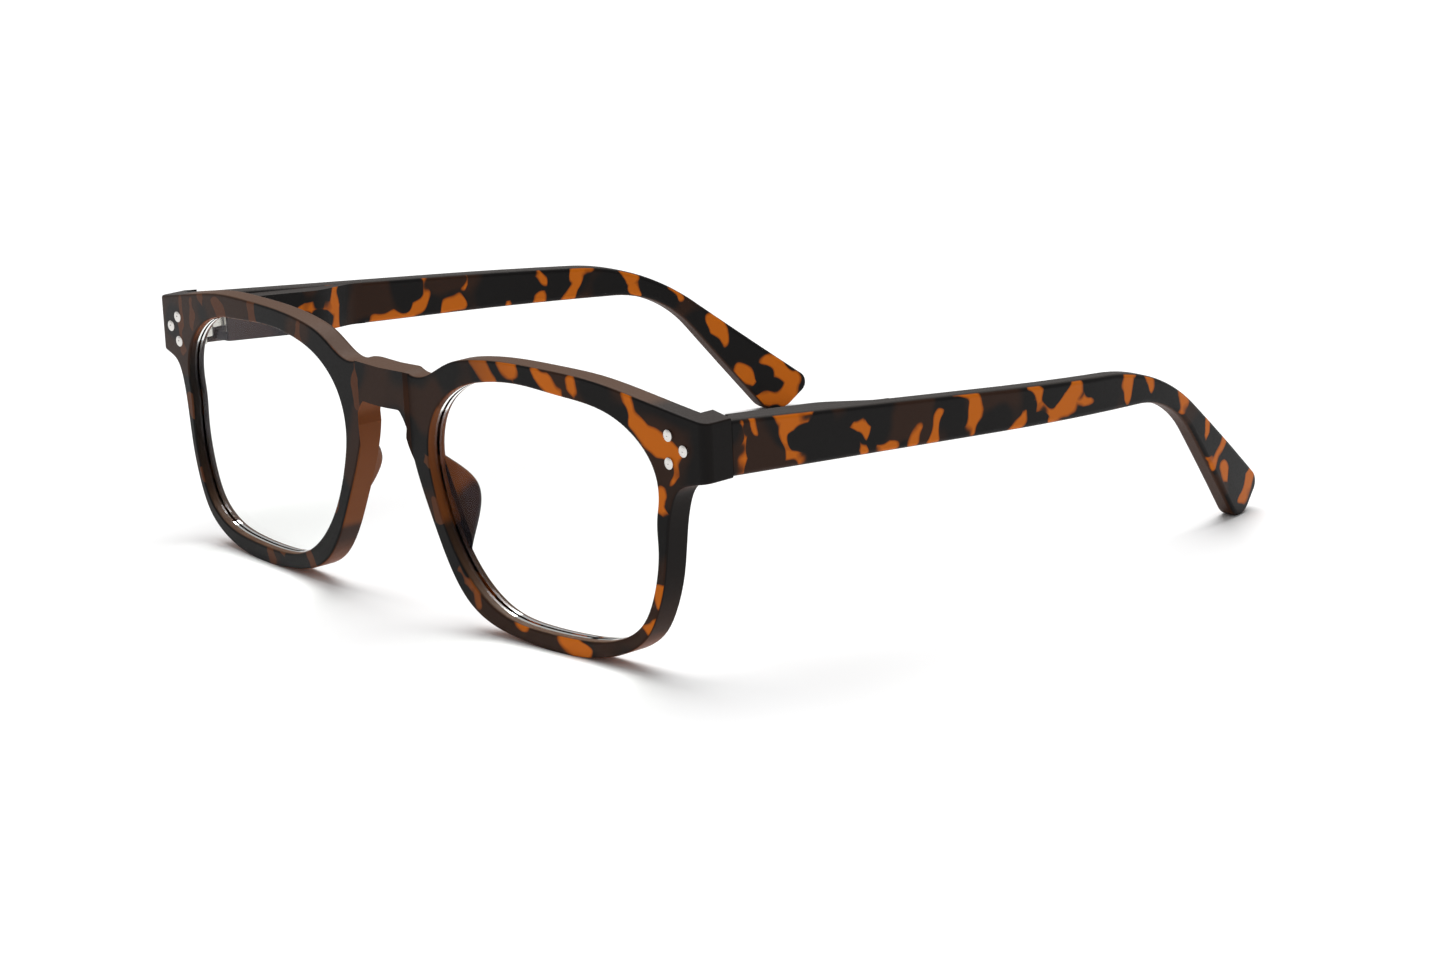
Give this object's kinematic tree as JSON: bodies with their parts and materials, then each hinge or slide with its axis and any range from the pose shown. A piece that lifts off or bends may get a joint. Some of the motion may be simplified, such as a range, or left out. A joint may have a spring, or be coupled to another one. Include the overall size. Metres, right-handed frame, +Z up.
{
  "type": "folding reading glasses",
  "caption": "Full-rim reading glasses with a soft-coated front, keyhole bridge, clear lenses and spring-hinged temples that fold flat behind the lenses.",
  "frame": {"origin": "on the table under the middle of the open glasses' bounding box", "axes": "+X to the wearer's left, +Y from the front back along the temples, +Z up"},
  "size_m": [0.145, 0.1482, 0.0463],
  "materials": {
    "front_shell": "soft-touch satin tortoiseshell, near-black brown with amber patches",
    "temple_shell": "soft-touch satin tortoiseshell, near-black brown with amber patches",
    "lens": "clear with a purple and green reflection-reducing coat",
    "rivet": "bright satin dome",
    "hinge_metal": "satin nickel",
    "spring_wire": "drawn wire"
  },
  "bodies": {
    "front": {"frame_front": "front_shell", "left_lens": "lens", "right_lens": "lens", "left_rivets": "rivet", "right_rivets": "rivet", "left_hinge_leaf": "hinge_metal", "right_hinge_leaf": "hinge_metal", "left_hinge_screw": "hinge_metal", "right_hinge_screw": "hinge_metal"},
    "left_slider": {"left_hinge_slider": "hinge_metal", "left_slider_nut": "hinge_metal", "left_hinge_spring": "spring_wire"},
    "left_arm": {"left_temple": "temple_shell", "left_spring_cage": "hinge_metal", "left_cage_lock": "hinge_metal"},
    "right_slider": {"right_hinge_slider": "hinge_metal", "right_slider_nut": "hinge_metal", "right_hinge_spring": "spring_wire"},
    "right_arm": {"right_temple": "temple_shell", "right_spring_cage": "hinge_metal", "right_cage_lock": "hinge_metal"}
  },
  "joints": [
    {"name": "left_fold", "type": "hinge", "parent": "front", "child": "left_slider", "pos_m": [0.0676, -0.06075, 0.03667], "axis": [0, -0.0257, 0.9997], "range_deg": [0, 85]},
    {"name": "left_spring_pull", "type": "slide", "parent": "left_slider", "child": "left_arm", "axis": [0, 0.9997, 0.0257], "range_m": [0, 0.0011], "stiffness_N_per_m": 1200, "springref_m": -0.0008, "deforming": ["left_hinge_spring"]},
    {"name": "right_fold", "type": "hinge", "parent": "front", "child": "right_slider", "pos_m": [-0.0676, -0.06075, 0.03667], "axis": [0, 0.0257, -0.9997], "range_deg": [0, 76]},
    {"name": "right_spring_pull", "type": "slide", "parent": "right_slider", "child": "right_arm", "axis": [0, 0.9997, 0.0257], "range_m": [0, 0.0011], "stiffness_N_per_m": 1200, "springref_m": -0.0008, "deforming": ["right_hinge_spring"]}
  ]
}
